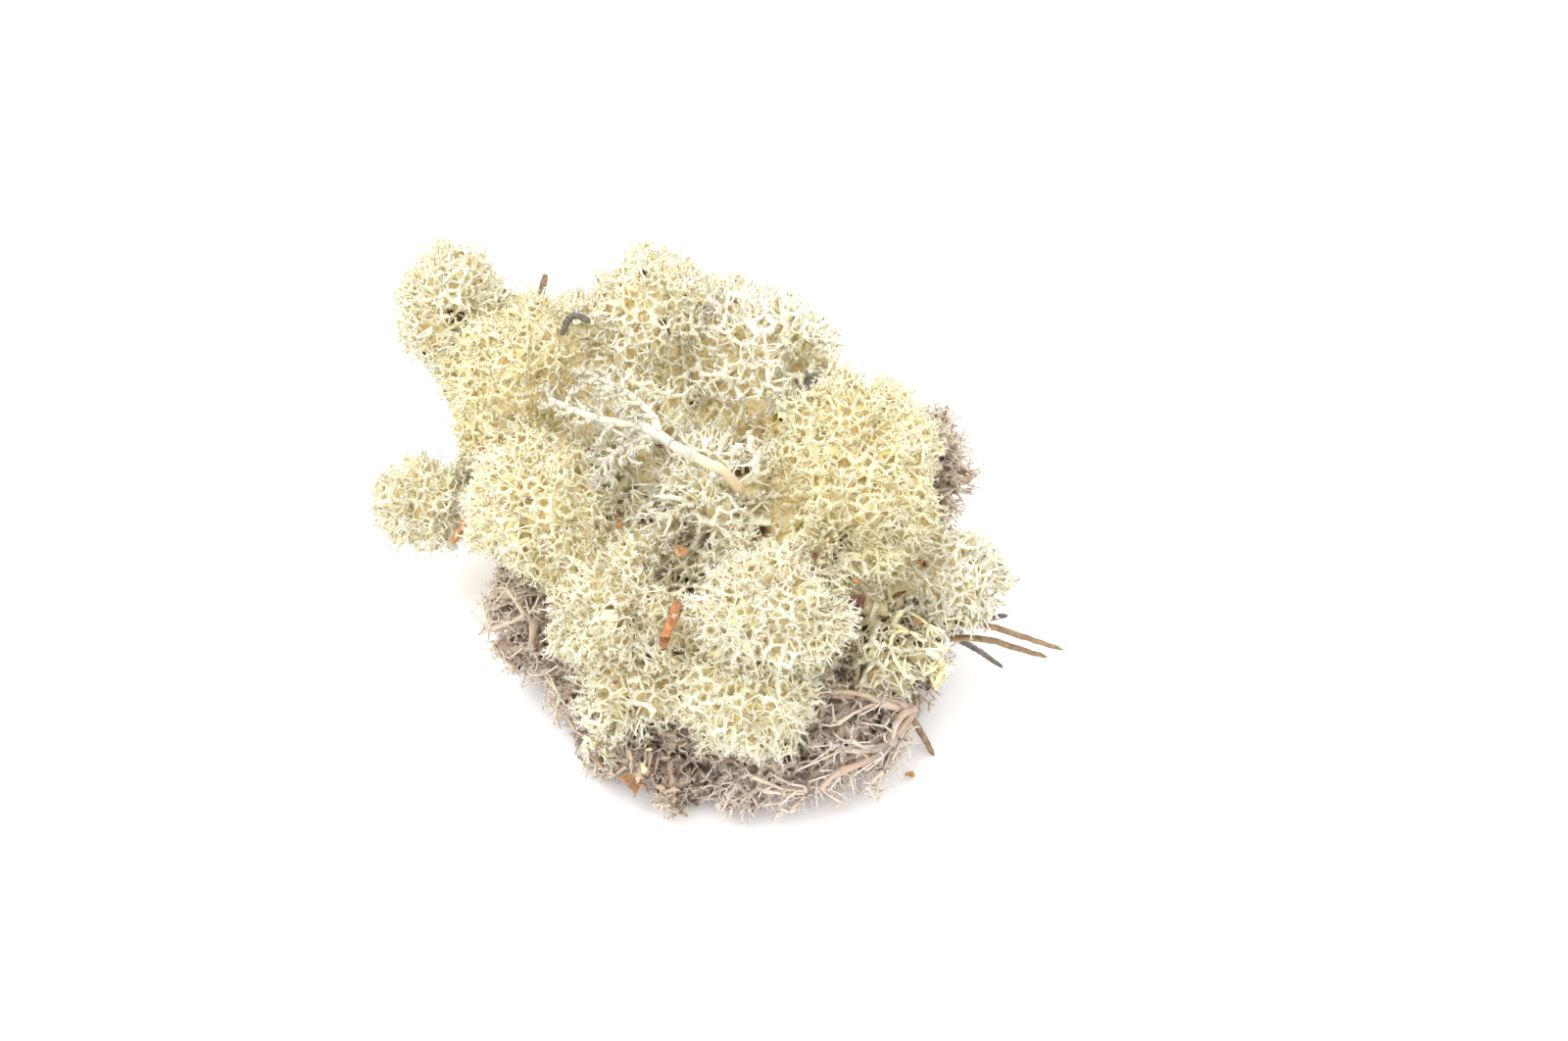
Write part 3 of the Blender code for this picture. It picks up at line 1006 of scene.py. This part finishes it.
def side_twig(shape, place, way, reach, width, tone, style, rng):
    """A twig that forks twice and ends in stars."""
    tree = Tree([], [], [])
    tree.add(place, -1, 6)
    knee = tree.add(place + way * reach * 0.45, 0, 4)
    for _ in range(2):
        ahead = unit(way + 0.55 * rng.standard_normal(3))
        low = tree.add(tree.places[knee] + ahead * reach * 0.35, knee, 2)
        for _ in range(2):
            further = unit(ahead + 0.6 * rng.standard_normal(3))
            tree.add(tree.places[low] + further * reach * 0.25, low, 1)
    draw_tree(shape, tree, replace(style, long_radius=width), tone, rng)


def turned_to(spot, line):
    """The line from its end nearer to the spot."""
    return line if np.linalg.norm(line[0] - spot) < np.linalg.norm(line[-1] - spot) else line[::-1]


def ivory_branch(rng):
    """The stout pale branch on top: a stem, three arms, side twigs and stars."""
    shape = Shape()
    style = replace(CUSHION, prongs=(4, 6), prong_length=0.65, tip_radius=0.11)
    tone = 0.3
    stem = centre_line("branch_stem", 5)
    arms = [centre_line(node, 6) for node in ("branch_front_arm", "branch_middle_arm", "branch_back_arm")]
    stem = turned_to(np.mean([arm.mean(0) for arm in arms], axis=0), stem)[::-1]
    arms = [turned_to(stem[-1], arm) for arm in arms]
    crotch = (stem[-1] + np.mean([arm[0] for arm in arms], axis=0)) / 2
    buried = stem[0] + 3.0 * unit(stem[0] - stem[1]) - (0, 0, 2.5)
    path = smooth_path([buried, *stem, crotch])
    ages = (0.35, 0.12, 0.02, 0.0, 0.0)
    add_rod(shape, path, (0.9, 0.88, 0.85, 0.85, 0.6), ages, tone, 10, 0.9, 0, 0.04, rng)
    for spot in (8, 13, 18):
        way = unit(np.array([0.2, -0.6, 0.4]) + 0.7 * rng.standard_normal(3))
        side_twig(shape, path[spot], way, 2.6, 0.17, tone, style, rng)
    for arm, width in zip(arms, (0.5, 0.66, 0.55)):
        path = smooth_path([stem[-1], crotch, *arm])
        widths = width * np.array([1.2, 1.5, 1.15, 1.0, 0.95, 0.8, 0.6])
        add_rod(shape, path, widths, (0.0, 0.0, 0.03), tone, 9, 0.85, 0, 0.05, rng)
        heading = unit(np.gradient(path, axis=0))
        side = 1
        for spot in range(9, len(path), 3):
            side = -side
            across = unit(np.cross(heading[spot], (0, 0, 1.0))) * side
            way = unit(across + 0.8 * heading[spot] + (0, 0, rng.uniform(-0.35, 0.35)))
            side_twig(shape, path[spot], way, rng.uniform(2.4, 4.8), 0.22, tone, style, rng)
        for _ in range(3):
            way = unit(heading[-1] + 0.5 * rng.standard_normal(3))
            side_twig(shape, path[-1], way, rng.uniform(2.0, 3.5), 0.16, tone, style, rng)

    # loops between neighbouring arms
    runs = [smooth_path([crotch, *arm]) for arm in arms]
    for one, two in zip(runs, runs[1:]):
        for share in (0.16, 0.3):
            start, end = one[int(share * len(one))], two[int((share + 0.08) * len(two))]
            path = smooth_path([start, (start + end) / 2 + 0.3 * (end - crotch), end])
            add_rod(shape, path, (0.42, 0.24, 0.22, 0.36), (0, 0.02), tone, 7, 0.9, 0, 0.05, rng)
            way = unit(end - crotch + rng.standard_normal(3))
            side_twig(shape, path[len(path) // 2], way, 2.6, 0.17, tone, style, rng)
    nodes = ("branch_stem", "branch_front_arm", "branch_middle_arm", "branch_back_arm")
    finish_piece(shape, "ivory_branch", IVORY_FINISH, "bare_branch", *nodes)


def flake(node, curl, ragged, finish, slot, seed, claws=0, sunk=0.0):
    """A thin curled flake with a torn edge, in the place of the frame's flake."""
    rng = np.random.default_rng(seed)
    points = solid(node)[0]
    middle = (points.min(0) + points.max(0)) / 2 - (0, 0, sunk)
    rows = axes_of(points)
    half = [np.ptp(points @ row) / 2 for row in rows]
    rings, sectors = 7, 40
    turn = np.arange(sectors) * 2 * math.pi / sectors
    waves = sum(rng.uniform(0.3, 1) * np.cos(k * turn + rng.uniform(0, 6.3)) / k for k in (2, 3, 5, 8, 13))
    edge = 1 - ragged * (waves - waves.min()) / np.ptp(waves)
    reach = np.linspace(0, 1, rings + 1)[1:]
    u = np.concatenate([[0], (reach[:, None] * edge * np.cos(turn)).ravel()])
    v = np.concatenate([[0], (reach[:, None] * edge * np.sin(turn)).ravel()])
    rise = curl * half[1] * v**2 - 0.25 * curl * half[1] * u**2 + 0.06 * rng.standard_normal(len(u)) * half[1]
    normal = rows[2] * (1 if rows[2][2] >= 0 else -1)
    sheet = middle + (u * half[0])[:, None] * rows[0] + (v * half[1])[:, None] * rows[1]
    sheet += (rise - rise.mean())[:, None] * normal
    outer = 1 + (rings - 1) * sectors
    shape = Shape()
    for k in range(claws):
        root = sheet[outer + int(sectors * (0.3 + 0.17 * k))]
        out = unit(root - middle) * (1, 1, 0)
        lift = np.array([0, 0, 0.45 * half[1]])
        path = smooth_path([root, root + 0.5 * half[1] * out + lift, root + half[1] * out - 0.2 * lift])
        path[:, 2] = np.maximum(path[:, 2], 0.4)
        add_rod(shape, path, (0.5, 0.42, 0.3, 0.12), (0, 1), 0.5, 8, 0.5)

    # both faces of the sheet and the rim between them
    count = len(sheet)
    thick = FLAKE_THICKNESS / 2 * normal
    both = np.concatenate([sheet + thick, sheet - thick])
    both[:, 2] = np.maximum(both[:, 2], 0.15)
    top = 1 + np.roll(ring_quads(rings, sectors)[:, ::-1], 1, axis=1)
    rim = outer + ring_quads(2, sectors, count)
    hub = fan(0, 1, sectors)
    age = np.tile(np.concatenate([[0], np.repeat(reach, sectors)]), 2)
    quads = np.concatenate([top, top[:, ::-1] + count, rim[:, ::-1]])
    shape.add(both, age, np.tile((u + 1) / 2, 2), quads, np.concatenate([hub, hub[:, ::-1] + count]))
    finish_piece(shape, node + "_torn", finish, slot, node)


def litter(*finishes):
    """Crumbs of bark and needle caught between the branches, one piece for each finish."""
    crevices = (MARGINS < 0.5) & (NORMALS[:, 2] > 0.4)
    seen = (OUTLINE[:, 1] < 8) & (OUTLINE[:, 2] > 16)
    spacing, most = 8, 8
    for number, finish in enumerate(finishes):
        rng = np.random.default_rng(60 + number)
        shape = Shape()
        for spot in OUTLINE[scattered(OUTLINE, crevices & seen, spacing, rng)[:most]]:
            way = unit(rng.standard_normal(3) * (1, 1, 0.4))
            reach = rng.uniform(0.5, 1.5)
            middle = spot - np.array([0, 0, rng.uniform(1.2, 2.2)])
            bend = middle + 0.15 * rng.standard_normal(3)
            path = smooth_path([middle - way * reach, bend, middle + way * reach], 4)
            add_rod(shape, path, (0.1, 0.42, 0.5, 0.3, 0.08), (0, 1), 0.5, 7, 0.45, 0.2, 0.12, rng)
        finish_piece(shape, "litter_" + finish.name, finish, "bark")


# ---------------- the stage


def studio():
    """White floor, white surroundings and one large soft light, seen from above the clump's front."""
    scene = bpy.context.scene
    scene.view_settings.view_transform = "Standard"
    scene.cycles.max_bounces = 14
    scene.cycles.diffuse_bounces = 12
    world = bpy.data.worlds.new("studio")
    world.use_nodes = True
    sky = world.node_tree.nodes["Background"]
    set_inputs(world.node_tree, sky, {"Color": (1, 1, 1, 1), "Strength": 1.72})
    scene.world = world

    bpy.ops.mesh.primitive_plane_add(size=6, location=(0, 0, -0.0003))
    floor = bpy.context.object
    floor.name = "floor"
    paper, tree, shader = new_finish("white_paper")
    set_inputs(tree, shader, {"Base Color": (0.93, 0.93, 0.94, 1), "Roughness": 0.9})
    floor.data.materials.append(paper)

    lamp = bpy.data.lights.new("softbox", "AREA")
    lamp.shape = "RECTANGLE"
    lamp.size = 0.9
    lamp.size_y = 0.7
    lamp.energy = 7
    softbox = add_object("softbox", lamp)
    softbox.location = (-0.35, 0.25, 0.9)
    softbox.rotation_euler = softbox.location.to_track_quat("Z", "Y").to_euler()


def camera():
    """A 90 mm lens from 640 mm away, 52 degrees above the table."""
    distance, elevation = 0.64, math.radians(52)
    target = Vector((0.0121, 0.0176, 0))
    lens = bpy.data.cameras.new("camera")
    lens.lens = 90
    lens.sensor_width = 36
    lens.clip_start = 0.01
    view = add_object("camera", lens)
    view.location = target + distance * Vector((0, -math.cos(elevation), math.sin(elevation)))
    view.rotation_euler = (math.pi / 2 - elevation, 0, 0)
    bpy.context.scene.camera = view


# ---------------- the clump

STYLES = [style for style, _, _ in PLANTS.values()]
RNG = np.random.default_rng(7)
OUTLINE, NORMALS, TRIS = whole_clump()
OUTLINE_TREE = BVHTree.FromPolygons(OUTLINE.tolist(), TRIS.tolist())
OWNERS, MARGINS = nearest_plant(OUTLINE)
THROUGH = thickness()

TUFT_MIDDLES = OUTLINE[seeds_of(OUTLINE, [style.tuft for style in STYLES], RNG)]
_, edge = tuft_of(OUTLINE, TUFT_MIDDLES)
CLEFTS = np.array([style.cleft for style in STYLES])[OWNERS]
HOLLOW = hollows()
FURROW = CLEFTS * np.clip((edge - 0.5) / 0.5, 0, 1) ** 2 + SEAM_DEPTH * (1 - MARGINS / SEAM) ** 2 + HOLLOW
HOLE_SCALE = RNG.uniform(0.5, 1.1, 997)  # some holes are tighter than others

NETS = []
for storey, share in enumerate(NET_SHARES):
    layers = [style.layers[storey] for style in STYLES]
    sunk = sunk_by(np.array([layer.depth for layer in layers])[OWNERS], share)
    sunk[:, 2] = np.maximum(sunk[:, 2], LOWEST_FORK)
    net = weave(sunk, seeds_of(sunk, [layer.cell for layer in layers], RNG, MISSING_SEEDS))
    ruffles = np.array([layer.ruffle for layer in layers])[net.owner]
    net.heights = ruffles * RNG.uniform(-1, 1, len(net.forks))
    home, _ = tuft_of(net.holes, TUFT_MIDDLES)
    net.patches = (0.12 * RNG.standard_normal(len(TUFT_MIDDLES)))[home]
    NETS.append(net)
TUFTS_OF_FORKS, _ = tuft_of(NETS[0].forks, TUFT_MIDDLES)
INNER_FINDER = finder(NETS[1].forks)

LIVING_FINISH = lichen_finish(
    "living_lichen",
    [
        (0.0, (0.90, 0.875, 0.75)), (0.1, (0.93, 0.885, 0.69)), (0.3, (0.96, 0.87, 0.57)),
        (0.8, (0.74, 0.60, 0.36)), (1.0, (0.20, 0.10, 0.045)),
    ],
    (1.0, 0.95, 0.68),
    0.85,
)
DEAD_FINISH = lichen_finish(
    "dead_lichen",
    [
        (0.0, (0.80, 0.69, 0.59)), (0.1, (0.73, 0.61, 0.51)),
        (0.3, (0.56, 0.44, 0.35)), (1.0, (0.22, 0.16, 0.12)),
    ],
    (0.62, 0.55, 0.47),
    0.9,
)
IVORY_FINISH = lichen_finish(
    "bare_branch",
    [
        (0.0, (0.62, 0.58, 0.47)), (0.1, (0.60, 0.55, 0.42)),
        (0.3, (0.52, 0.43, 0.29)), (1.0, (0.4, 0.29, 0.17)),
    ],
    (1.0, 0.96, 0.85),
    0.7,
)
# in both tangles the dark colour is painted shade in the gaps between strands; the dead tangle is also
# painted shade at the bottom of deep hollows
inner_growth(
    "old_growth",
    tangle_finish("old_growth", (0.97, 0.88, 0.60), (0.84, 0.71, 0.42), 700),
    tangle_finish("old_dead_growth_and_hollow_shade", (0.42, 0.34, 0.26), (0.14, 0.10, 0.07), 700),
)
for number, (node, (style, root_place, tone)) in enumerate(PLANTS.items()):
    shape = grow(number, node, style, root_place, tone)
    if node.startswith("crown"):
        finish_piece(shape, node + "_branches", LIVING_FINISH, "living_lichen", node)
    else:
        finish_piece(shape, node + "_branches", DEAD_FINISH, "dead_lichen", node)

BROWN = woody_finish("brown_needle", (0.34, 0.225, 0.115), (0.13, 0.08, 0.04), 900, 1.0, 0.55)
GREY = woody_finish("grey_needle", (0.17, 0.15, 0.115), (0.065, 0.055, 0.04), 900, 1.0, 0.6)
RUST = woody_finish("rusty_needle", (0.56, 0.25, 0.09), (0.24, 0.09, 0.035), 800, 1.4, 0.6)
BARK = woody_finish("bark", (0.26, 0.11, 0.07), (0.07, 0.03, 0.025), 700, 1.6, 0.8)
SCALE = woody_finish("bud_scale", (0.58, 0.33, 0.15), (0.24, 0.10, 0.04), 600, 1.5, 0.5)
ASH = woody_finish("grey_bark", (0.34, 0.30, 0.26), (0.10, 0.085, 0.075), 700, 1.6, 0.8)
DETAILS = np.random.default_rng(40)
ivory_branch(DETAILS)
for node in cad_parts:
    if node in ("needle_grey", "needle_drooping", "needle_hooked"):
        needle(node, NEEDLE_RADIUS, GREY, "grey_needle", DETAILS)
    elif node.startswith("needle_"):
        needle(node, NEEDLE_RADIUS, RUST if node == "needle_left" else BROWN, "brown_needle", DETAILS)
needle("stick_front", STICK_RADIUS, RUST, "bud_scale", DETAILS)
flake("bark_right", 0.5, 0.45, BARK, "bark", 0)
flake("bark_top", 0.5, 0.6, ASH, "bark", 1, sunk=5.2)
flake("bud_husk", 1.3, 0.35, SCALE, "bud_scale", 2, claws=2)
flake("bud_scale_middle", 0.8, 0.35, SCALE, "bud_scale", 3)
flake("crumb_ground", 0.6, 0.4, SCALE, "bud_scale", 4)
litter(RUST, BARK)

studio()
camera()
